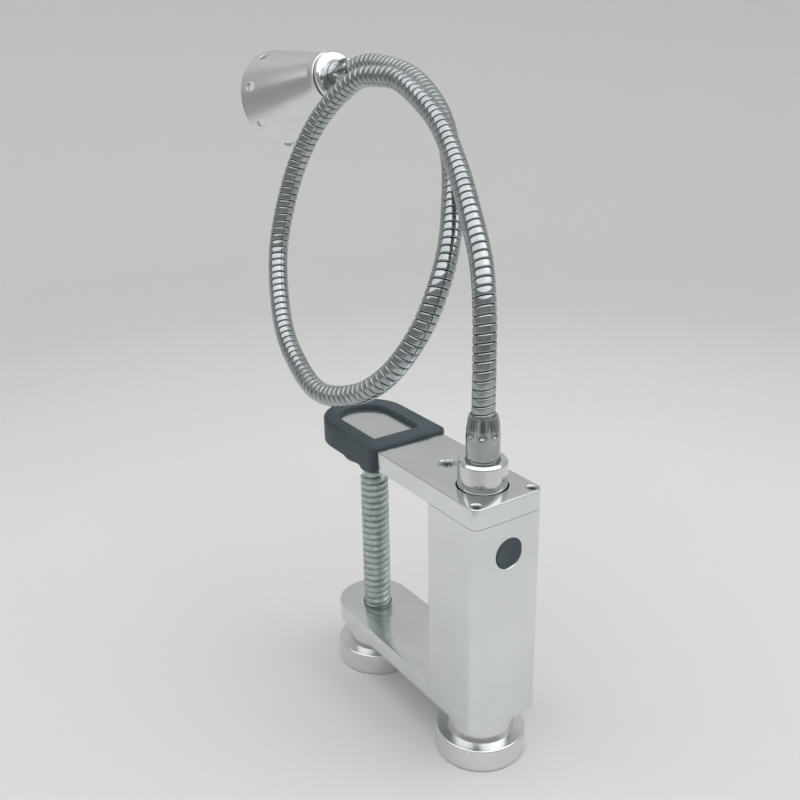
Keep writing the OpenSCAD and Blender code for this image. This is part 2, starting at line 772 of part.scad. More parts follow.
module base_lead() {
    low_z = upper_z + 1;
    color(lead_grey) translate([collar_x, 0, low_z]) cylinder(r = lead_r, h = route[0].z - low_z);
}

module head_lead() {
    color(lead_grey) in_head() translate([0, 0, neck_sink]) cylinder(r = lead_r, h = led_z - neck_sink);
}

column_housing();
top_plate();
bottom_plate();
top_plate_screws();
bottom_plate_screws();
jaw_screw();
jaw_pad();
clamp_foot();
foot_screw();
clamp_screw();
clamp_knob();
knob_bolt();
push_button();
switch_body();
switch_board();
driver_board();
positive_contact();
battery_cell();
battery_cap();
cap_seal();
cap_contact();
cap_spring();
neck_collar();
lower_ferrule();
gooseneck(1);  // gooseneck_1
gooseneck(2);  // gooseneck_2
gooseneck(3);  // gooseneck_3
gooseneck(4);  // gooseneck_4
gooseneck(5);  // gooseneck_5
base_lead();
lead(1);  // lead_1
lead(2);  // lead_2
lead(3);  // lead_3
lead(4);  // lead_4
lead(5);  // lead_5
head_lead();
upper_ferrule();
head_ring();
lamp_cone();
led_board();
led_emitter();
reflector();
lens();
lens_ring();
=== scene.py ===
"""Looks of a clamp-on gooseneck lamp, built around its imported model. Metres, +Z up."""

import math

import bmesh
import bpy
from mathutils import Matrix, Vector


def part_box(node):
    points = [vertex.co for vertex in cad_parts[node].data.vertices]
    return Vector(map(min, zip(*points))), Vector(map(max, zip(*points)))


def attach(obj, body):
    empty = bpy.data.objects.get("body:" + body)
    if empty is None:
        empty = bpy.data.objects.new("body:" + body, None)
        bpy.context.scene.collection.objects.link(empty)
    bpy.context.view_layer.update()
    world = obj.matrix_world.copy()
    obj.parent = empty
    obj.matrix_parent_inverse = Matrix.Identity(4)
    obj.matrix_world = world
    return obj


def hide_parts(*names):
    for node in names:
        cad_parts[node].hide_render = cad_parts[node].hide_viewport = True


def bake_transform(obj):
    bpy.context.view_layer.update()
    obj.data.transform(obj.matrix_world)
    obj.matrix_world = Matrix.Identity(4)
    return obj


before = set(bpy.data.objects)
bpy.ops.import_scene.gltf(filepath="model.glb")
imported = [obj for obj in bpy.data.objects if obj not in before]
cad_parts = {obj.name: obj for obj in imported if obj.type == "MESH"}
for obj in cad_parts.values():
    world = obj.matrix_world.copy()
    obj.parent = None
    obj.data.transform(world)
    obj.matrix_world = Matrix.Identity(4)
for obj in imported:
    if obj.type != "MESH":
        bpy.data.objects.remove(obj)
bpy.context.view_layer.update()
scene = bpy.context.scene
MM = 0.001
ON_AXIS = 1e-7
LOOK_SUFFIX = "_look"

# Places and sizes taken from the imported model
column_low, column_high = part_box("column_housing")
upper_jaw_low, upper_jaw_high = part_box("top_plate")
lower_jaw_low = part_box("bottom_plate")[0]
pad_low, pad_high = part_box("jaw_pad")
foot_low, foot_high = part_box("clamp_foot")
spindle_low, spindle_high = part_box("clamp_screw")
knob_low, knob_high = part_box("clamp_knob")
button_low, button_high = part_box("push_button")
collar_low, collar_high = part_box("neck_collar")
ferrule_low, ferrule_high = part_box("lower_ferrule")
jaw_screw_low, jaw_screw_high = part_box("jaw_screw")
corner_screw_low, corner_screw_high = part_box("top_plate_screws")
outer_x = column_high.x
frame_w = column_high.y - column_low.y
spindle_x = (spindle_low.x + spindle_high.x) / 2
knob_r = (knob_high.x - knob_low.x) / 2
knob_h = knob_high.z
button_z = (button_low.z + button_high.z) / 2
ferrule_l = ferrule_high.z - ferrule_low.z
ferrule_r = (ferrule_high.x - ferrule_low.x) / 2
ferrule_mouth = ferrule_high.z
collar_x = (collar_low.x + collar_high.x) / 2

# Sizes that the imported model's boxes don't give
outer_edge_r = 3.4 * MM
inner_edge_r = 1.5 * MM
seam_edge = 0.05 * MM
top_edge = 0.4 * MM
knob_disc_h = 9.8 * MM
knob_boss_r = 13.25 * MM
collar_r = 9.35 * MM
collar_gap = 0.5 * MM
flange_r = 12.2 * MM
flange_h = 2.4 * MM
socket_r = 6.4 * MM
wire_bore_r = 3 * MM
neck_r = 4.35 * MM
neck_bore_r = 2.5 * MM
groove_depth = 0.6 * MM
lead_r = 1.5 * MM
neck_sink = 8 * MM
thread_crest_r = 6 * MM
thread_root_r = 4.8 * MM
thread_pitch = 3 * MM

# Lamp head: the mouth of its ferrule, and its axis below the horizontal and from -X towards -Y
head_mouth = Vector((-161, 48, 136.5)) * MM + Vector((0, 0, upper_jaw_high.z))
head_pitch = math.radians(16.7)
head_yaw = math.radians(6.8)
in_head = (Matrix.Translation(head_mouth) @ Matrix.Rotation(math.pi + head_yaw, 4, "Z")
           @ Matrix.Rotation(math.pi / 2 + head_pitch, 4, "Y"))
head_axis = (in_head.to_3x3() @ Vector((0, 0, 1))).normalized()

# Gooseneck's centre line in millimetres, with heights from the top of the upper jaw
ROUTE = [
    (-1.2, 0.3, 46), (-5.5, 3.5, 64), (-14, 8.5, 79), (-27.5, 14, 93), (-46, 21.5, 108),
    (-67.5, 27.5, 123), (-92, 29, 134.5), (-107.5, 27.5, 136.5), (-122, 24.5, 134), (-140, 18.5, 119.5),
    (-149.5, 11, 100), (-151, 3, 78), (-145, -5, 56), (-126.5, -13.5, 32), (-104, -18, 19),
    (-82, -20, 15), (-58, -17, 21.5), (-42, -12, 34), (-34, -4.5, 50), (-33, 3, 65), (-37.5, 11.5, 79),
    (-46.5, 20, 93), (-62, 31, 108), (-86, 42.5, 123.5), (-113.5, 48.5, 135), (-139, 50, 139),
]
# Its stretches' ends as shares of its length, the turns of its winding and the points along each
STRETCH_ENDS = [0, 0.075, 0.13, 0.89, 0.94, 1]
NECK_TURNS = 200
POINTS_PER_TURN = 20


# Mesh builders

def arc(x, y, radius, start, end, steps=16):
    """Points on an arc between two angles in degrees."""
    angles = [math.radians(start + (end - start) * i / steps) for i in range(steps + 1)]
    return [(x + radius * math.cos(a), y + radius * math.sin(a)) for a in angles]


def circle(x, y, radius, steps=64):
    """Points once round a circle."""
    return arc(x, y, radius, 0, 360, steps)[:-1]


def eased(points, radius, loop=False, steps=4):
    """The line through the points, each corner rounded."""
    made = []
    last = len(points) - 1
    for i, corner in enumerate(points):
        if not loop and i in (0, last):
            made.append(Vector(corner))
            continue
        corner = Vector(corner)
        legs = [Vector(points[i - 1]) - corner, Vector(points[(i + 1) % len(points)]) - corner]
        start, end = [corner + leg.normalized() * min(radius, 0.45 * leg.length) for leg in legs]
        for k in range(steps + 1):
            t = k / steps
            made.append(start * (1 - t) ** 2 + corner * 2 * t * (1 - t) + end * t * t)
    return made


def inset(outline, distance):
    """A counter-clockwise outline moved inwards."""
    made = []
    count = len(outline)
    for i in range(count):
        before, at, after = (Vector(outline[k % count]) for k in (i - 1, i, i + 1))
        first, second = ((b - a).normalized().orthogonal() for a, b in ((before, at), (at, after)))
        made.append(at + (first + second) * distance / (1 + first.dot(second)))
    return made


def rim_rows(low, high, low_edge, high_edge, steps=4):
    """(inset, height) rows of a wall whose lower and upper rims are rounded."""
    angles = [math.pi / 2 * i / steps for i in range(steps + 1)]
    rows = [(low_edge * (1 - math.sin(a)), low + low_edge * (1 - math.cos(a))) for a in angles]
    rows += [(high_edge * (1 - math.cos(a)), high - high_edge * (1 - math.sin(a))) for a in angles]
    return rows


def skin(bm, rings, loop=False):
    """Faces between rings of the same number of vertices, or of one where a ring is a point."""
    pairs = zip(rings, rings[1:] + rings[:1]) if loop else zip(rings, rings[1:])
    for low, high in pairs:
        count = max(len(low), len(high))
        for k in range(count):
            corners = [low[k % len(low)], low[(k + 1) % len(low)],
                       high[(k + 1) % len(high)], high[k % len(high)]]
            bm.faces.new(list(dict.fromkeys(corners)))


def slab(bm, outline, rows, holes=(), hole_rows=()):
    """A flat body: the outline's wall through (inset, height) rows, and round holes (x, y, radius)
    through rows of their own between the same heights."""
    walls = [[(inset(outline, distance), height) for distance, height in rows]]
    walls += [[(circle(x, y, radius + distance), height) for distance, height in hole_rows]
              for x, y, radius in holes]
    rims = [[], []]
    for wall in walls:
        rings = [[bm.verts.new((*point, height)) for point in ring] for ring, height in wall]
        skin(bm, rings)
        for rim, ring in zip(rims, (rings[0], rings[-1])):
            rim += [bm.edges.get((a, b)) for a, b in zip(ring, ring[1:] + ring[:1])]
    for rim in rims:
        bmesh.ops.triangle_fill(bm, use_beauty=True, edges=rim)


def turn(bm, profile, segments=96, place=Matrix.Identity(4), loop=False, dent=None):
    """A body turned about z from (radius, height) points. dent(radius, height, angle) changes a radius
    and gives a share of painted shade, which is kept at each vertex as the groove layer."""
    groove = bm.verts.layers.float.get("groove") or bm.verts.layers.float.new("groove")
    rings = []
    for radius, height in profile:
        count = 1 if radius < ON_AXIS else segments
        ring = []
        for k in range(count):
            angle = 2 * math.pi * k / segments
            r, shade = dent(radius, height, angle) if dent else (radius, 0)
            ring.append(bm.verts.new(place @ Vector((r * math.cos(angle), r * math.sin(angle), height))))
            ring[-1][groove] = shade
        rings.append(ring)
    skin(bm, rings, loop)


def wind(bm, place, turns, rib, sides, bore):
    """A helical winding with a bore. place(turn, angle, radius) is a point, and rib the (share, radius)
    points of one turn's outline. The share of its depth at each vertex is kept as the groove layer, which the
    chrome turns into painted shade."""
    groove = bm.verts.layers.float.get("groove") or bm.verts.layers.float.new("groove")
    radii = [radius for _, radius in rib]
    depth = max(radii) - min(radii)
    made = {}

    def vertex(row, side, inside):
        """The vertex of a row, which goes on a whole turn later after its last side."""
        points = [(0, bore)] if inside else rib
        row, side = row + side // sides * len(points), side % sides
        if (row, side, inside) not in made:
            share, radius = points[row % len(points)]
            step = row // len(points) + share + side / sides
            new = bm.verts.new(place(step, 2 * math.pi * side / sides, radius))
            new[groove] = (max(radii) - radius) / depth if depth else 0
            made[row, side, inside] = new
        return made[row, side, inside]

    for inside, per_turn in ((False, len(rib)), (True, 1)):
        for row in range(turns * per_turn):
            for side in range(sides):
                bm.faces.new([vertex(row, side, inside), vertex(row, side + 1, inside),
                              vertex(row + 1, side + 1, inside), vertex(row + 1, side, inside)])
    for end in (0, turns):
        row = end * len(rib)
        for side in range(sides):
            bm.faces.new([vertex(row, side, False), vertex(row, side + 1, False),
                          vertex(end, side + 1, True), vertex(end, side, True)])
        step = [vertex(row + k, 0, False) for k in range(len(rib) + 1)]
        bm.faces.new(step + [vertex(end + 1, 0, True), vertex(end, 0, True)])


def tube(bm, points, radius, sides=12):
    """A round tube along points, its ends closed."""
    frames = carried_frames(points)
    rings = []
    for point, across, beside in frames:
        angles = [2 * math.pi * k / sides for k in range(sides)]
        rings.append([bm.verts.new(point + (across * math.cos(a) + beside * math.sin(a)) * radius)
                      for a in angles])
    skin(bm, rings)
    bm.faces.new(rings[0])
    bm.faces.new(rings[-1])


def carried_frames(points):
    """(point, across, beside) along a line, the side directions carried along without twist."""
    frames = []
    across = Vector((1, 0, 0))
    last = len(points) - 1
    for i, point in enumerate(points):
        along = (points[min(i + 1, last)] - points[max(i - 1, 0)]).normalized()
        across = (across - along * across.dot(along)).normalized()
        frames.append((point, across, along.cross(across)))
    return frames


# Objects

def settle(obj):
    """Applies an object's modifiers to its mesh."""
    bpy.context.view_layer.update()
    mesh = bpy.data.meshes.new_from_object(obj.evaluated_get(bpy.context.evaluated_depsgraph_get()))
    obj.modifiers.clear()
    obj.data = mesh


def shape(name, bm, place=None):
    """An object from a finished mesh."""
    bmesh.ops.recalc_face_normals(bm, faces=bm.faces)
    mesh = bpy.data.meshes.new(name)
    bm.to_mesh(mesh)
    bm.free()
    obj = bpy.data.objects.new(name, mesh)
    scene.collection.objects.link(obj)
    if place:
        obj.matrix_world = place
    return obj


def cut(obj, tool_mesh):
    """Takes the tool's mesh out of an object."""
    tool = shape(obj.name + "_tool", tool_mesh, obj.matrix_world.copy())
    modifier = obj.modifiers.new("cut", "BOOLEAN")
    modifier.object = tool
    modifier.solver = "EXACT"
    settle(obj)
    bpy.data.objects.remove(tool)


def dress(obj, look, sharp=32):
    """Smooth shading with sharp edges kept, and the material."""
    obj.data.materials.clear()
    obj.data.materials.append(look)
    obj.data.shade_smooth()
    obj.data.set_sharp_from_angle(angle=math.radians(sharp))


def seat(obj, body, look, *nodes):
    """Finishes a piece that stands for CAD nodes and rides on a body."""
    dress(obj, look)
    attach(obj, body)
    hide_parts(*nodes)
    return obj


# Materials

def new_look(name, **values):
    """A node material named after a slot of the record, with constant values on its shader."""
    look = bpy.data.materials.new(name + LOOK_SUFFIX)
    look.use_nodes = True
    shader = look.node_tree.nodes["Principled BSDF"]
    for socket, value in values.items():
        shader.inputs[socket.replace("_", " ")].default_value = value
    return look, look.node_tree, shader


def add(tree, kind, settings=None, **inputs):
    """A node with its settings, and its inputs set or linked."""
    node = tree.nodes.new("ShaderNode" + kind)
    for key, value in (settings or {}).items():
        setattr(node, key, value)
    for key, value in inputs.items():
        socket = node.inputs[key.replace("_", " ")]
        if isinstance(value, bpy.types.NodeSocket):
            tree.links.new(value, socket)
        else:
            socket.default_value = value
    return node


def noise(tree, scale, stretch=(1, 1, 1), detail=4):
    """Noise in the object's own coordinates, its scale in features per metre."""
    where = add(tree, "TexCoord").outputs["Object"]
    moved = add(tree, "Mapping", Vector=where, Scale=stretch).outputs["Vector"]
    return add(tree, "TexNoise", Vector=moved, Scale=scale, Detail=detail).outputs["Fac"]


def between(tree, factor, low, high, spread=(0.35, 0.65)):
    """A number from low to high, as the factor goes across the spread."""
    node = add(tree, "MapRange", Value=factor)
    for key, value in zip(("From Min", "From Max", "To Min", "To Max"), (*spread, low, high)):
        node.inputs[key].default_value = value
    return node.outputs["Result"]


def mixed(tree, factor, low, high):
    """A colour between two, each a constant or a socket."""
    first_colour, second_colour, colour_out = 6, 7, 2
    node = add(tree, "Mix", {"data_type": "RGBA"})
    tree.links.new(factor, node.inputs[0])
    for socket, value in ((node.inputs[first_colour], low), (node.inputs[second_colour], high)):
        if isinstance(value, bpy.types.NodeSocket):
            tree.links.new(value, socket)
        else:
            socket.default_value = (*value, 1)
    return node.outputs[colour_out]


def bump(tree, shader, height, strength, distance):
    """Relief on a shader, its distance in metres."""
    relief = add(tree, "Bump", Height=height, Strength=strength, Distance=distance)
    tree.links.new(relief.outputs["Normal"], shader.inputs["Normal"])


def metal(name, dark, light, rough, mottle, grain, stretch=(1, 1, 1), relief=0.1, **values):
    """A metal whose colour and roughness vary with a mottle, under a fine grain of relief."""
    grain_h = 0.01 * MM
    look, tree, shader = new_look(name, Metallic=1, **values)
    cloud = noise(tree, mottle)
    fine = noise(tree, grain, stretch, detail=2)
    tree.links.new(mixed(tree, between(tree, cloud, 0, 1), dark, light), shader.inputs["Base Color"])
    tree.links.new(between(tree, fine, *rough), shader.inputs["Roughness"])
    bump(tree, shader, fine, relief, grain_h)
    return look


def turned(name, dark, light, rough, spread):
    """Turned metal: fine rings round the object's z axis spread its highlights along it."""
    look = metal(name, dark, light, rough, mottle=60, grain=3000, stretch=(0, 0, 1), relief=0.03,
                 Anisotropic=spread)
    tree = look.node_tree
    tangent = add(tree, "Tangent", {"direction_type": "RADIAL", "axis": "Z"})
    tree.links.new(tangent.outputs["Tangent"], tree.nodes["Principled BSDF"].inputs["Tangent"])
    return look


def neck_chrome():
    """Chrome with painted shade: its colour goes darker down in the grooves between its turns."""
    look, tree, shader = new_look("gooseneck_chrome", Metallic=1)
    depth = add(tree, "Attribute", {"attribute_name": "groove"}).outputs["Fac"]
    # Painted shade: the deeper a vertex sits in a groove, the nearer its colour goes to near black.
    painted_groove_shade = between(tree, depth, 0, 1, (0.25, 0.95))
    cloud = noise(tree, 220)
    crest = mixed(tree, between(tree, cloud, 0, 1), (0.37, 0.40, 0.41), (0.46, 0.49, 0.50))
    tree.links.new(mixed(tree, painted_groove_shade, crest, (0.08, 0.09, 0.10)), shader.inputs["Base Color"])
    tree.links.new(between(tree, noise(tree, 900), 0.06, 0.12), shader.inputs["Roughness"])
    return look


def rubber(name, dark, light):
    """Matt moulded rubber with a fine pebbled skin."""
    pebble_h = 0.05 * MM
    look, tree, shader = new_look(name, Specular_IOR_Level=0.45)
    cloud = noise(tree, 90)
    pebble = noise(tree, 2600, detail=2)
    tree.links.new(mixed(tree, between(tree, cloud, 0, 1), dark, light), shader.inputs["Base Color"])
    tree.links.new(between(tree, pebble, 0.5, 0.66), shader.inputs["Roughness"])
    bump(tree, shader, pebble, 0.35, pebble_h)
    return look


def moulded(name, dark, light, rough=(0.35, 0.5), **values):
    """Smooth moulded or coated stuff with a little variation."""
    look, tree, shader = new_look(name, **values)
    cloud = noise(tree, 300)
    tree.links.new(mixed(tree, between(tree, cloud, 0, 1), dark, light), shader.inputs["Base Color"])
    tree.links.new(between(tree, noise(tree, 1500), *rough), shader.inputs["Roughness"])
    return look


satin = metal("satin_aluminium", (0.745, 0.765, 0.775), (0.795, 0.815, 0.825), (0.14, 0.2), 45, 1500,
              (0.06, 1, 1), 0.06)
turned_metal = turned("turned_aluminium", (0.755, 0.765, 0.77), (0.795, 0.805, 0.81), (0.21, 0.25), 0.35)
polished = turned("polished_metal", (0.71, 0.725, 0.725), (0.77, 0.785, 0.785), (0.10, 0.16), 0.4)
chrome = neck_chrome()
zinc = metal("zinc_steel", (0.46, 0.515, 0.505), (0.62, 0.68, 0.665), (0.36, 0.52), 330, 2400, relief=0.3)
fastener = metal("dark_fastener", (0.36, 0.38, 0.39), (0.50, 0.52, 0.53), (0.32, 0.45), 500, 3000)
black_rubber = rubber("black_rubber", (0.051, 0.073, 0.090), (0.067, 0.092, 0.110))
brass = metal("contact_brass", (0.70, 0.52, 0.25), (0.82, 0.65, 0.36), (0.2, 0.34), 250, 2600)
mirror = metal("reflector_mirror", (0.86, 0.865, 0.87), (0.93, 0.932, 0.935), (0.05, 0.1), 90, 1800)
switch_plastic = moulded("switch_plastic", (0.02, 0.02, 0.022), (0.035, 0.035, 0.037))
board_green = moulded("circuit_board", (0.02, 0.11, 0.05), (0.03, 0.16, 0.075))
cell_wrap = moulded("cell_wrap", (0.05, 0.14, 0.30), (0.07, 0.18, 0.37), (0.2, 0.32))
sleeve = moulded("lead_sleeve", (0.05, 0.05, 0.055), (0.075, 0.075, 0.08), (0.45, 0.6))
led_white = moulded("led_white", (0.78, 0.78, 0.76), (0.86, 0.86, 0.84))
phosphor = moulded("led_phosphor", (0.80, 0.62, 0.12), (0.90, 0.74, 0.2), (0.1, 0.2), Coat_Weight=1.0)
glass = moulded("lens_clear", (0.93, 0.95, 0.96), (0.98, 0.99, 1.0), (0.02, 0.08),
                Transmission_Weight=1.0, IOR=1.49)


# Clamp frame

def jaw_outline():
    """Outline of a jaw plate: a square outer end and a round inner one."""
    half = frame_w / 2
    corner = outer_x - outer_edge_r
    return (arc(corner, outer_edge_r - half, outer_edge_r, -90, 0)
            + arc(corner, half - outer_edge_r, outer_edge_r, 0, 90)
            + arc(upper_jaw_low.x + half, 0, half, 90, 270, 48))


def column_outline():
    """Outline of the column."""
    half = frame_w / 2
    outline = []
    for x, y, radius, start in ((outer_x, -half, outer_edge_r, -90), (outer_x, half, outer_edge_r, 0),
                                (column_low.x, half, inner_edge_r, 90),
                                (column_low.x, -half, inner_edge_r, 180)):
        outline += arc(x - math.copysign(radius, x), y - math.copysign(radius, y), radius, start, start + 90)
    return outline


def tongue(end_x, edge_x, radius, corner):
    """Outline with one round end and one straight edge with rounded corners."""
    return (arc(edge_x - corner, corner - radius, corner, -90, 0)
            + arc(edge_x - corner, radius - corner, corner, 0, 90)
            + arc(end_x, 0, radius, 90, 270, 48))


def drill(radius, depth, rim):
    """Half outline of a tool for a round hole below z = 0 with a small bevel."""
    return [(0, -depth), (radius, -depth), (radius, -rim), (radius + rim, 0), (radius + rim, rim), (0, rim)]


def corner_screws(z, flip):
    """(place of the head's top, head radius, shank radius, length) of the screws at a jaw's outer corners."""
    radius = (corner_screw_high.x - corner_screw_low.x) / 2
    x = (corner_screw_low.x + corner_screw_high.x) / 2
    y = corner_screw_high.y - radius
    length = corner_screw_high.z - corner_screw_low.z
    shank_r = 1.5 * MM
    return [(Matrix.Translation((x, side * y, z)) @ Matrix.Rotation(flip, 4, "X"), radius, shank_r, length)
            for side in (-1, 1)]


def centre_screw():
    """The same for the screw on the upper jaw's centre line."""
    radius = (jaw_screw_high.x - jaw_screw_low.x) / 2
    x = (jaw_screw_low.x + jaw_screw_high.x) / 2
    length = jaw_screw_high.z - jaw_screw_low.z
    shank_r = 2 * MM
    return [(Matrix.Translation((x, 0, upper_jaw_high.z)), radius, shank_r, length)]


UPPER_SCREWS = corner_screws(upper_jaw_high.z, 0)
LOWER_SCREWS = corner_screws(lower_jaw_low.z, math.pi)
CENTRE_SCREW = centre_screw()


def build_column():
    """The box column, its hole for the button and the slit at its seam with the upper jaw."""
    slit, slit_depth = 0.14 * MM, 0.6 * MM
    step = column_high.z - slit
    rows = [(0, column_low.z), (0, step), (slit_depth, step), (slit_depth, column_high.z)]
    bay = (0, 0, 9.8 * MM)
    bm = bmesh.new()
    slab(bm, column_outline(), rows, [bay], [(0, column_low.z), (0, column_high.z)])
    column = shape("column_body", bm)
    button_gap = 0.1 * MM
    hole_r = (button_high.z - button_low.z) / 2 + button_gap
    rim = 0.25 * MM
    depth = 3.5 * MM
    across = Matrix.Translation((outer_x, 0, button_z)) @ Matrix.Rotation(math.pi / 2, 4, "Y")
    tool = bmesh.new()
    turn(tool, drill(hole_r, depth, rim), place=across)
    cut(column, tool)
    seat(column, "frame", satin, "column_housing")


def build_jaws():
    """The two jaw plates, with their holes and countersinks."""
    hole_edge = 0.2 * MM
    room = 0.05 * MM
    collar_hole = (collar_x, 0, collar_r + collar_gap)
    cap_hole = (0, 0, 11.9 * MM)
    spindle_gap = 0.25 * MM
    spindle_hole = (spindle_x, 0, thread_crest_r + spindle_gap)
    for name, node, edges, holes, screws in (
            ("upper_jaw", "top_plate", (seam_edge, top_edge), [collar_hole], UPPER_SCREWS + CENTRE_SCREW),
            ("lower_jaw", "bottom_plate", (top_edge, seam_edge), [cap_hole, spindle_hole], LOWER_SCREWS)):
        low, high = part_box(node)
        bm = bmesh.new()
        slab(bm, jaw_outline(), rim_rows(low.z, high.z, *edges), holes,
             rim_rows(low.z, high.z, hole_edge, hole_edge))
        jaw = shape(name, bm)
        tool = bmesh.new()
        for place, radius, shank_r, length in screws:
            shank_top = shank_r - radius - hole_edge
            turn(tool, [(0, -length), (shank_r + room, -length), (shank_r + room, shank_top),
                        (radius + room, -hole_edge), (radius + room, room), (0, room)], 48, place)
        cut(jaw, tool)
        seat(jaw, "frame", satin, node)


def socket_screw(bm, tool, place, radius, shank_r, length):
    """A countersunk screw with its head a little below z = 0, and the tool for its hexagon socket."""
    top = -0.3 * MM
    lip = 0.2 * MM
    cone_z = shank_r - radius - lip
    socket = 0.6 * radius
    floor = -1.2 * shank_r
    turn(bm, [(0, -length), (shank_r, -length), (shank_r, cone_z), (radius - lip, top - lip),
              (radius - 2 * lip, top), (0, top)], 48, place)
    turn(tool, [(0, floor - socket / 3), (socket, floor), (socket, top - lip), (socket + 2 * lip, top + lip),
                (0, top + lip)], 6, place)


def build_screws():
    """The countersunk screws in the jaws."""
    for name, node, group in (("upper_jaw_screws", "top_plate_screws", UPPER_SCREWS),
                              ("lower_jaw_screws", "bottom_plate_screws", LOWER_SCREWS),
                              ("centre_screw", "jaw_screw", CENTRE_SCREW)):
        bm, tool = bmesh.new(), bmesh.new()
        for screw in group:
            socket_screw(bm, tool, *screw)
        screws = shape(name, bm)
        cut(screws, tool)
        seat(screws, "frame", fastener, node)


def build_pad():
    """The rubber pad round the upper jaw's end, with a window in its top."""
    edge = 1.1 * MM
    corner = 2 * MM
    window_r = 11.3 * MM
    window_y = -0.5 * MM
    window_end = upper_jaw_low.x + frame_w / 2 - 2.5 * MM
    window_edge = pad_high.x - 7.7 * MM
    far_corner = 3 * MM
    radius = (pad_high.y - pad_low.y) / 2
    bm = bmesh.new()
    slab(bm, tongue(pad_low.x + radius, pad_high.x, radius, corner),
         rim_rows(pad_low.z, pad_high.z, edge, edge, 6))
    pad = shape("rubber_pad", bm)
    tool = bmesh.new()
    room = 0.05 * MM
    grown = inset(jaw_outline(), -room)
    slab(tool, grown, rim_rows(upper_jaw_low.z - room, upper_jaw_high.z + room, seam_edge, top_edge))
    cut(pad, tool)
    tool = bmesh.new()
    lip = 0.25 * MM
    window = [(window_edge, window_y - window_r)]
    window += arc(window_edge - far_corner, window_y + window_r - far_corner, far_corner, 0, 90)
    window += arc(window_end, window_y, window_r, 90, 270, 48)
    rows = [(0, upper_jaw_high.z - lip), (0, pad_high.z - lip), (-0.3 * lip, pad_high.z - 0.3 * lip),
            (-1.6 * lip, pad_high.z + lip)]
    slab(tool, window, rows)
    cut(pad, tool)
    seat(pad, "frame", black_rubber, "jaw_pad")


# Clamp spindle, foot and knobs

def build_foot():
    """The rubber foot that the spindle turns in."""
    hub_r = 6.2 * MM
    flange_t = 5 * MM
    rounding = 0.8 * MM
    flange_z = foot_high.z - flange_t
    radius = (foot_high.x - foot_low.x) / 2
    bore_r = 4.1 * MM
    pin_r = 2.3 * MM
    sink_r = 4.3 * MM
    web_low, web_high = foot_low.z + 6.4 * MM, foot_low.z + 7.7 * MM
    outline = [(bore_r, foot_low.z), (hub_r, foot_low.z), (hub_r, flange_z), (radius, flange_z),
               (radius, foot_high.z), (sink_r, foot_high.z), (sink_r, web_high), (pin_r, web_high),
               (pin_r, web_low), (bore_r, web_low)]
    bm = bmesh.new()
    turn(bm, eased(outline, rounding, loop=True), loop=True, place=Matrix.Translation((spindle_x, 0, 0)))
    seat(shape("swivel_foot", bm), "clamp_foot", black_rubber, "clamp_foot")


def build_spindle():
    """The spindle, its thread wound as a helix round a core and tapered at the top."""
    start_z = knob_h + 0.5 * MM
    shoulder = foot_low.z - 0.4 * MM
    turns = int((shoulder - start_z) / thread_pitch) - 1
    taper_z = shoulder - 4 * MM
    taper = 0.4
    depth = thread_crest_r - thread_root_r
    root_flat, crest_flat = 0.08, 0.2
    sides = 48
    bore_r = 1 * MM

    def place(step, angle, radius):
        """A point on the thread, held under the taper."""
        z = start_z + step * thread_pitch
        radius = min(radius, thread_crest_r - max(0, z - taper_z) * taper)
        return Vector((spindle_x + radius * math.cos(angle), radius * math.sin(angle), min(z, shoulder)))

    points = 10
    shares = [k / points for k in range(points)]
    rise = 0.5 - root_flat - crest_flat
    swell = [min(1, max(0, (0.5 - abs(share - 0.5) - root_flat) / rise)) for share in shares]
    outline = [(share, thread_root_r + depth * s * s * (3 - 2 * s)) for share, s in zip(shares, swell)]
    bm = bmesh.new()
    wind(bm, place, turns, outline, sides, bore_r)
    core_r = thread_root_r - 0.05 * MM
    shank_r = 5 * MM
    stud_r = 4 * MM
    rounding = 0.3 * MM
    tip_z = taper_z + (thread_crest_r - core_r) / taper
    core = [(0, spindle_low.z), (shank_r, spindle_low.z), (shank_r, knob_h), (core_r, knob_h),
            (core_r, tip_z), (stud_r, shoulder), (stud_r, spindle_high.z), (0, spindle_high.z)]
    turn(bm, eased(core, rounding), sides, Matrix.Translation((spindle_x, 0, 0)))
    seat(shape("threaded_spindle", bm), "clamp_screw", zinc, "clamp_screw")


def knob_points():
    """Half outline of a stepped knob, from its rim's foot to its top."""
    chamfer = 0.5 * MM
    return [(knob_r - chamfer, 0), (knob_r, chamfer), (knob_r, knob_disc_h - chamfer),
            (knob_r - chamfer, knob_disc_h), (knob_boss_r, knob_disc_h), (knob_boss_r, knob_h - chamfer),
            (knob_boss_r - chamfer, knob_h)]


def build_knobs():
    """The spindle's knob, and the column's cap with its threaded spigot."""
    rounding = 0.25 * MM
    segments = 128
    bolt_room = 5.5 * MM
    bolt_depth = 7 * MM
    spindle_r = 5.05 * MM
    seat_z = 10 * MM
    bore = [(spindle_r, knob_h), (spindle_r, seat_z), (bolt_room, bolt_depth), (bolt_room, 0)]
    outline = knob_points() + bore
    bm = bmesh.new()
    turn(bm, eased(outline, rounding, loop=True), segments, loop=True)
    seat(shape("spindle_knob", bm, Matrix.Translation((spindle_x, 0, 0))), "clamp_screw", turned_metal,
         "clamp_knob")

    spigot_r, spigot_top = 11.8 * MM, 27 * MM
    hollow_r, hollow_z = 10 * MM, 11 * MM
    groove_r, groove_low, groove_high = 10.9 * MM, 24.5 * MM, 25.7 * MM
    outline = [(0, 0)] + knob_points() + [
        (spigot_r, knob_h), (spigot_r, groove_low), (groove_r, groove_low), (groove_r, groove_high),
        (spigot_r, groove_high), (spigot_r, spigot_top), (hollow_r, spigot_top), (hollow_r, hollow_z),
        (0, hollow_z)]
    bm = bmesh.new()
    turn(bm, eased(outline, rounding), segments)
    seat(shape("cap_knob", bm), "battery_cap", turned_metal, "battery_cap")


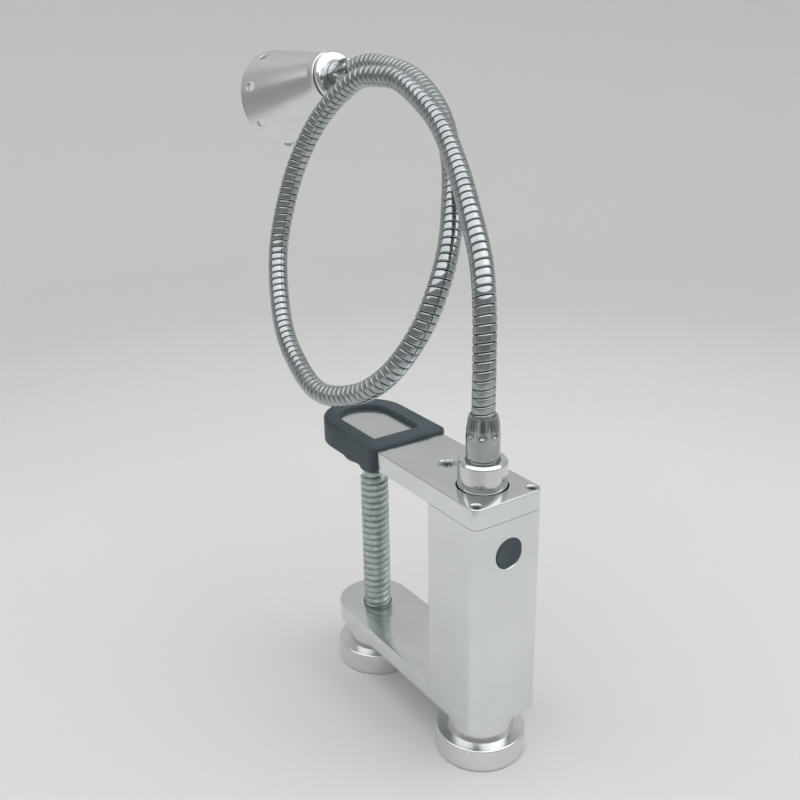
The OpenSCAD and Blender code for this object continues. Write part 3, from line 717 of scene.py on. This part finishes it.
def build_bolt():
    """The socket bolt that holds the knob on the spindle."""
    low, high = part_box("knob_bolt")
    rounding = 0.4 * MM
    past = 1 * MM
    head_r = 5 * MM
    bolt_r = 3 * MM
    head_top = low.z + 6 * MM
    socket = 0.55 * head_r
    floor = low.z + 3 * MM
    place = Matrix.Translation((spindle_x, 0, 0))
    bm, tool = bmesh.new(), bmesh.new()
    turn(bm, eased([(0, low.z), (head_r, low.z), (head_r, head_top), (bolt_r, head_top), (bolt_r, high.z),
                    (0, high.z)], rounding), 48, place)
    turn(tool, [(0, low.z - past), (socket, low.z - past), (socket, floor), (0, floor + past)], 6, place)
    bolt = shape("knob_socket_bolt", bm)
    cut(bolt, tool)
    seat(bolt, "clamp_screw", fastener, "knob_bolt")


def build_button():
    """The push button, with a dished face and a stem to the switch."""
    radius = (button_high.z - button_low.z) / 2
    depth = 2.2 * MM
    bevel, bevel_w = 0.15 * MM, 0.7 * MM
    rounding = 0.5 * MM
    back = outer_x - button_high.x + depth
    stem_r = 2.5 * MM
    stem = button_high.x - button_low.x
    face = button_high.x - outer_x
    dish = 0.18 * MM
    bowl_r, bowl_depth = 0.55 * radius, 0.8 * dish
    outline = [(0, face - stem), (stem_r, face - stem), (stem_r, -back), (radius, -back),
               (radius, face - bevel), (radius - bevel_w, face), (bowl_r, face - bowl_depth),
               (0, face - dish)]
    bm = bmesh.new()
    turn(bm, eased(outline, rounding), 72)
    place = Matrix.Translation((outer_x, 0, button_z)) @ Matrix.Rotation(math.pi / 2, 4, "Y")
    seat(shape("button_cap", bm, place), "push_button", black_rubber, "push_button")


def build_spring():
    """The coil spring on the cap's contact."""
    low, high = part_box("cap_spring")
    wire_r = 0.45 * MM
    coil_r = (high.x - low.x) / 2 - wire_r
    turns = 5
    per_turn = 32
    start, end = low.z + wire_r, high.z - wire_r
    points = []
    for i in range(turns * per_turn + 1):
        angle = 2 * math.pi * i / per_turn
        rise = start + (end - start) * i / (turns * per_turn)
        points.append(Vector((coil_r * math.cos(angle), coil_r * math.sin(angle), rise)))
    bm = bmesh.new()
    tube(bm, points, wire_r)
    seat(shape("contact_spring", bm), "cap_contact", zinc, "cap_spring")


# Gooseneck, its collar and its ferrules

def build_collar():
    """The collar that turns in the upper jaw, with its flange below."""
    chamfer = 1 * MM
    rounding = 0.3 * MM
    low, high = collar_low.z, collar_high.z
    outline = [(wire_bore_r, low), (flange_r, low), (flange_r, low + flange_h), (collar_r, low + flange_h),
               (collar_r, high - chamfer), (collar_r - chamfer, high), (socket_r, high),
               (socket_r, ferrule_low.z), (wire_bore_r, ferrule_low.z)]
    bm = bmesh.new()
    turn(bm, eased(outline, rounding, loop=True), 128, loop=True)
    place = Matrix.Translation((collar_x, 0, 0))
    seat(shape("turned_collar", bm, place), "neck_base", polished, "neck_collar")


def flute(radius, height, angle):
    """A ferrule's radius where eight crimped flutes dent its thin end, and a share of painted shade
    that darkens each flute's core."""
    flute_r = 2.2 * MM
    flute_depth = 1 * MM
    start = ferrule_l - 6 * MM
    shade_ramp = 1 * MM
    lean = math.tan(math.radians(6.5))
    phase = math.radians(4)
    eighth = math.pi / 4
    least_wall = 0.2 * MM
    shade_gain, shade_start, shade_most = 1.1, 0.4, 0.7
    axis_r = ferrule_r + flute_r - flute_depth - lean * max(0, height - start)
    off = (angle - phase + eighth / 2) % eighth - eighth / 2
    beside = axis_r * math.sin(off)
    below = max(0, start - height)
    room = flute_r ** 2 - beside ** 2 - below ** 2
    gap = radius - axis_r * math.cos(off) + math.sqrt(room) if room > 0 else 0
    if gap <= 0 or radius < neck_r + least_wall:
        return radius, 0
    # Painted shade in the flute's core, faded out towards its rounded end.
    above = min(1, max(0, (height - start) / shade_ramp))
    core = min(shade_most, max(0, shade_gain * gap / flute_depth - shade_start))
    return radius - gap, core * above


def build_ferrules():
    """The crimped ferrules at the gooseneck's two ends."""
    edge = 0.4 * MM
    shoulder_l = 5 * MM
    mouth_r = neck_r + 0.95 * MM
    inner_r = neck_r + 0.1 * MM
    rows = 60
    curve = 1.85
    wall = []
    for height in (edge + (ferrule_l - 1.5 * edge) * k / rows for k in range(rows + 1)):
        share = max(0, 1 - (ferrule_l - height) / shoulder_l)
        wall.append((ferrule_r - (ferrule_r - mouth_r) * share ** curve, height))
    mouth = [(mouth_r - edge, ferrule_l), (inner_r, ferrule_l), (inner_r, ferrule_l - neck_sink),
             (wire_bore_r, ferrule_l - neck_sink), (wire_bore_r, 0), (ferrule_r - edge, 0)]
    upright = Matrix.Identity(4)
    flipped = Matrix.Translation((0, 0, ferrule_l)) @ Matrix.Scale(-1, 4, (0, 0, 1))
    for name, node, body, way, place in (
            ("ferrule_lower", "lower_ferrule", "neck_base", upright,
             Matrix.Translation((collar_x, 0, ferrule_low.z))),
            ("ferrule_upper", "upper_ferrule", "lamp_head", flipped, in_head)):
        bm = bmesh.new()
        turn(bm, wall + mouth, 160, way, loop=True, dent=flute)
        seat(shape(name, bm, place), body, chrome, node)


def neck_line():
    """Points along the gooseneck's centre line at even steps."""
    straight = (-neck_sink, 0, neck_sink)
    route = [Vector((collar_x, 0, ferrule_mouth + step)) for step in straight]
    route += [Vector(point) * MM + Vector((0, 0, upper_jaw_high.z)) for point in ROUTE]
    route += [head_mouth + head_axis * step for step in straight]
    padded = [2 * route[0] - route[1]] + route + [2 * route[-1] - route[-2]]
    steps = 40
    fine = []
    for a, b, c, d in zip(padded, padded[1:], padded[2:], padded[3:]):
        for t in (k / steps for k in range(steps)):
            fine.append(0.5 * (2 * b + (c - a) * t + (2 * a - 5 * b + 4 * c - d) * t * t
                               + (3 * b - a - 3 * c + d) * t ** 3))
    fine.append(route[-1])
    travelled = [0]
    for a, b in zip(fine, fine[1:]):
        travelled.append(travelled[-1] + (b - a).length)
    even = []
    count = POINTS_PER_TURN * NECK_TURNS
    at = 0
    for i in range(count + 1):
        wanted = travelled[-1] * i / count
        while at < len(fine) - 2 and travelled[at + 1] < wanted:
            at += 1
        share = (wanted - travelled[at]) / (travelled[at + 1] - travelled[at])
        even.append(fine[at].lerp(fine[at + 1], share))
    return even


def build_neck():
    """The gooseneck and the lead in it, in five stretches. The middle one rides on the neck loop and the
    other four stay where they are built.
    """
    line = neck_line()
    frames = carried_frames(line)
    per_turn = POINTS_PER_TURN
    shares = [0, 0.03, 0.07, 0.11, 0.16, 0.22, 0.5, 0.78, 0.84, 0.89, 0.93, 0.97]
    shoulder = 0.2
    steep = 2.2
    sides = 24
    fall = [max(0, 1 - min(share, 1 - share) / shoulder) ** steep for share in shares]
    outline = [(share, neck_r - groove_depth * drop) for share, drop in zip(shares, fall)]
    ends = [round(share * NECK_TURNS) for share in STRETCH_ENDS]
    joints = {1: (0, 1), 2: (1, 2), 4: (2, 3), 5: (3, 4)}
    for stretch in range(1, 6):
        first, last = ends[stretch - 1], ends[stretch]

        def place(step, angle, radius):
            """A point on this stretch's winding."""
            index = min(max((first + step) * per_turn, 0), len(line) - 1)
            low = min(int(index), len(line) - 2)
            share = index - low
            point, across, beside = (a.lerp(b, share) for a, b in zip(frames[low], frames[low + 1]))
            return point + (across * math.cos(angle) + beside * math.sin(angle)) * radius

        bm = bmesh.new()
        wind(bm, place, last - first - (1 if stretch == 5 else 0), outline, sides, neck_bore_r)
        neck = shape(f"neck_stretch_{stretch}", bm)
        bm = bmesh.new()
        tube(bm, line[first * per_turn:last * per_turn + 1:per_turn // 2], lead_r)
        lead = shape(f"lead_stretch_{stretch}", bm)
        for piece, look, node in ((neck, chrome, f"gooseneck_{stretch}"), (lead, sleeve, f"lead_{stretch}")):
            if stretch in joints:
                dress(piece, look)
                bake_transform(piece)
                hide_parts(node)
            else:
                seat(piece, "neck_loop", look, node)


# Lamp head

def build_head():
    """The ring at the cone's small end, and the hollow cone with its vents."""
    ring_low, ring_high, ring_r = 12 * MM, 14.8 * MM, 12 * MM
    chamfer = 0.9 * MM
    rounding = 0.2 * MM
    bm = bmesh.new()
    turn(bm, eased([(socket_r, ring_low), (ring_r - chamfer, ring_low), (ring_r, ring_low + chamfer),
                    (ring_r, ring_high), (socket_r, ring_high)], rounding, loop=True), 128, loop=True)
    seat(shape("cone_ring", bm, in_head), "lamp_head", polished, "head_ring")

    groove_r, cone_z, small_r = 11 * MM, 15.3 * MM, 12.6 * MM
    bead_top, cone_end, mouth_r = 18 * MM, 60.3 * MM, 25.5 * MM
    wall = 1.6 * MM
    recess, seat_r, seat_z = 50 * MM, 19.6 * MM, 45 * MM
    board_r, board_z, board_top = 12 * MM, 30.3 * MM, 31.9 * MM
    rows = 24
    slope = (mouth_r - small_r) / (cone_end - bead_top)
    heights = [bead_top + (cone_end - bead_top) * k / rows for k in range(1, rows)]
    skin_rows = [(small_r + slope * (height - bead_top), height) for height in heights]
    edge = 0.3 * MM
    ledge = 1 * MM
    lip_r = mouth_r - wall
    outline = [(socket_r, ring_high), (groove_r, ring_high), (groove_r, cone_z), (small_r - edge, cone_z),
               (small_r, cone_z + edge), (small_r, bead_top), *skin_rows,
               (mouth_r - slope * edge, cone_end - edge), (mouth_r - edge, cone_end),
               (lip_r + edge, cone_end), (lip_r - edge, cone_end - edge), (seat_r + ledge, recess),
               (seat_r, recess), (seat_r, seat_z), (seat_r - ledge, seat_z),
               (board_r, board_top), (board_r, board_z), (wire_bore_r, board_z), (wire_bore_r, ferrule_l),
               (socket_r, ferrule_l)]
    bm = bmesh.new()
    turn(bm, outline, 160, loop=True)
    cone = shape("cone_shell", bm, in_head)
    vents, vent_r, vent_z = 8, 2.5 * MM, 53.8 * MM
    phase = math.radians(17.5)
    lean = math.atan(slope)
    rim = 0.2 * MM
    reach = 3.2 * MM
    tool = bmesh.new()
    for k in range(vents):
        place = (Matrix.Rotation(phase + 2 * math.pi * k / vents, 4, "Z")
                 @ Matrix.Translation((small_r + slope * (vent_z - bead_top), 0, vent_z))
                 @ Matrix.Rotation(math.pi / 2 + lean, 4, "Y"))
        turn(tool, drill(vent_r, reach, rim), 40, place)
    cut(cone, tool)
    seat(cone, "lamp_head", turned_metal, "lamp_cone")


def build_lamp():
    """The lens, its notched ring and the reflector inside the cone."""
    rounding = 0.3 * MM
    lens_low, lens_high, lens_r = 45.05 * MM, 47.5 * MM, 19.4 * MM
    bm = bmesh.new()
    turn(bm, eased([(0, lens_low), (lens_r, lens_low), (lens_r, lens_high), (0, lens_high)], rounding), 96)
    seat(shape("lens_disc", bm, in_head), "lamp_head", glass, "lens")

    ring_low, ring_high = 47.55 * MM, 49.55 * MM
    inner_r, outer_r = 17.6 * MM, 19.55 * MM
    bm = bmesh.new()
    turn(bm, eased([(inner_r, ring_low), (outer_r, ring_low), (outer_r, ring_high), (inner_r, ring_high)],
                   rounding, loop=True), 128, loop=True)
    retainer = shape("lens_retainer", bm, in_head)
    notch = 1 * MM
    tool = bmesh.new()
    for angle in (0, math.pi):
        place = (Matrix.Rotation(angle, 4, "Z") @ Matrix.Translation((outer_r, 0, ring_high))
                 @ Matrix.Rotation(-math.pi / 2, 4, "Y"))
        turn(tool, [(0, -notch), (notch, -notch), (notch, 3 * notch), (0, 3 * notch)], 24, place)
    cut(retainer, tool)
    seat(retainer, "lamp_head", polished, "lens_ring")

    throat_r, cup_r, cup_low, cup_high = 4.2 * MM, 17.3 * MM, 32.1 * MM, 44.8 * MM
    thick = 0.8 * MM
    flare = 0.8
    rows = 16
    shares = [k / rows for k in range(rows + 1)]
    inner = [(throat_r + (cup_r - throat_r) * share ** flare, cup_low + (cup_high - cup_low) * share)
             for share in shares]
    outer = [(radius + thick, height) for radius, height in reversed(inner)]
    bm = bmesh.new()
    turn(bm, inner + outer, 96, loop=True)
    seat(shape("reflector_cup", bm, in_head), "lamp_head", mirror, "reflector")


# Nodes that keep their solids and take a material

def build_kept():
    """Materials for the CAD nodes that show as they are."""
    looks = {
        fastener: ["foot_screw"],
        switch_plastic: ["switch_body"],
        board_green: ["switch_board", "driver_board"],
        brass: ["positive_contact", "cap_contact"],
        cell_wrap: ["battery_cell"],
        black_rubber: ["cap_seal"],
        sleeve: ["base_lead", "head_lead"],
        led_white: ["led_board"],
        phosphor: ["led_emitter"],
    }
    for look, nodes in looks.items():
        for node in nodes:
            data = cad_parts[node].data
            data.materials.clear()
            data.materials.append(look)


# Studio

CAMERA_AZIMUTH = math.radians(56.37)
CAMERA_ELEVATION = math.radians(21.37)
CAMERA_ROLL = math.radians(-0.99)
CAMERA_PLACE = Vector((258.97, -208.44, 279.34)) * MM
CAMERA_LENS = 45.288
CAMERA_SENSOR = 36


def view_back():
    """Direction from the object towards the camera."""
    level = math.cos(CAMERA_ELEVATION)
    x, y = math.sin(CAMERA_AZIMUTH) * level, -math.cos(CAMERA_AZIMUTH) * level
    return Vector((x, y, math.sin(CAMERA_ELEVATION)))


def build_camera():
    """The camera, fitted to the photograph."""
    back = view_back()
    right = Vector((0, 0, 1)).cross(back).normalized()
    up = back.cross(right)
    rolled = right * math.cos(CAMERA_ROLL) + up * math.sin(CAMERA_ROLL)
    upright = up * math.cos(CAMERA_ROLL) - right * math.sin(CAMERA_ROLL)
    data = bpy.data.cameras.new("camera")
    data.lens = CAMERA_LENS
    data.sensor_width = CAMERA_SENSOR
    data.clip_start = 0.01
    camera = bpy.data.objects.new("camera", data)
    turned_to = Matrix((rolled, upright, back)).transposed().to_4x4()
    camera.matrix_world = Matrix.Translation(CAMERA_PLACE) @ turned_to
    scene.collection.objects.link(camera)
    scene.camera = camera


def build_stage():
    """Pale floor that sweeps up into a round backdrop, high behind the object, lower in front of it and
    lowest at the sides. Its front is painted grey as painted shade, a dim side of the room for the metal to
    reflect."""
    floor_r, bow, side_top, front_top, back_top = 0.8, 0.4, 0.7, 1.25, 2.6
    near, far, painted_front_shade = (0.74, 0.745, 0.735), (0.61, 0.615, 0.605), (0.41, 0.415, 0.41)
    front_turn = math.radians(-30)
    fade_reach, front_reach = (0.30, 0.64), (0.22, 0.44)
    away = -view_back()
    sides = 96
    steps = 16
    angles = [2 * math.pi * k / sides for k in range(sides)]
    bend = [math.pi / 2 * k / steps for k in range(steps + 1)]
    rows = [(floor_r + bow * math.sin(a), bow * (1 - math.cos(a))) for a in bend]
    bm = bmesh.new()
    rings = [[bm.verts.new((0, 0, 0))]]
    rings += [[bm.verts.new((radius * math.cos(a), radius * math.sin(a), height)) for a in angles]
              for radius, height in rows]
    rings.append([])
    for a in angles:
        behind = math.cos(a - math.atan2(away.y, away.x))
        top = side_top + abs(behind) * ((back_top if behind > 0 else front_top) - side_top)
        rings[-1].append(bm.verts.new(((floor_r + bow) * math.cos(a), (floor_r + bow) * math.sin(a), top)))
    skin(bm, rings)
    sweep = shape("sweep", bm)
    sweep.data.shade_smooth()
    look, tree, shader = new_look("paper", Roughness=0.9, Specular_IOR_Level=0.1)
    where = add(tree, "TexCoord").outputs["Object"]
    reach = add(tree, "VectorMath", {"operation": "LENGTH"})
    tree.links.new(where, reach.inputs[0])
    fade = between(tree, reach.outputs["Value"], 0, 1, fade_reach)
    floor = mixed(tree, fade, near, far)
    # Painted shade: floor and sweep turn grey towards the camera's side, turned a little, as a dim side to
    # reflect.
    front = add(tree, "VectorMath", {"operation": "DOT_PRODUCT"})
    tree.links.new(where, front.inputs[0])
    front.inputs[1].default_value = Matrix.Rotation(front_turn, 3, "Z") @ view_back()
    front_shade_mask = between(tree, front.outputs["Value"], 0, 1, front_reach)
    tree.links.new(mixed(tree, front_shade_mask, floor, painted_front_shade), shader.inputs["Base Color"])
    sweep.data.materials.append(look)


def build_world():
    """Soft pale room, brightest high up on the picture's right."""
    world = bpy.data.worlds.new("room")
    world.use_nodes = True
    scene.world = world
    tree = world.node_tree
    dull, bright = (1.34, 1.34, 1.34), (1.64, 1.64, 1.64)
    spread = (0, 0.95)
    bright_side = Vector((0.55, 0.40, 0.73)).normalized()
    product = add(tree, "VectorMath", {"operation": "DOT_PRODUCT"})
    tree.links.new(add(tree, "TexCoord").outputs["Generated"], product.inputs[0])
    product.inputs[1].default_value = bright_side
    facing = between(tree, product.outputs["Value"], 0, 1, spread)
    tree.links.new(mixed(tree, facing, dull, bright), tree.nodes["Background"].inputs["Color"])


def softbox(name, place, size, power):
    """A large square lamp that faces the object."""
    data = bpy.data.lights.new(name, "AREA")
    data.size = size
    data.energy = power
    lamp = bpy.data.objects.new(name, data)
    lamp.visible_camera = False
    place = Vector(place)
    target = Vector((0, 0, 0.1))
    aim = (place - target).to_track_quat("Z", "Y").to_matrix().to_4x4()
    lamp.matrix_world = Matrix.Translation(place) @ aim
    scene.collection.objects.link(lamp)


build_column()
build_jaws()
build_screws()
build_pad()
build_foot()
build_spindle()
build_knobs()
build_bolt()
build_button()
build_spring()
build_collar()
build_ferrules()
build_neck()
build_head()
build_lamp()
build_kept()
build_camera()
build_stage()
build_world()
softbox("key", place=(0.45, 0.35, 1.2), size=0.85, power=0.8)
scene.view_settings.view_transform = "Standard"
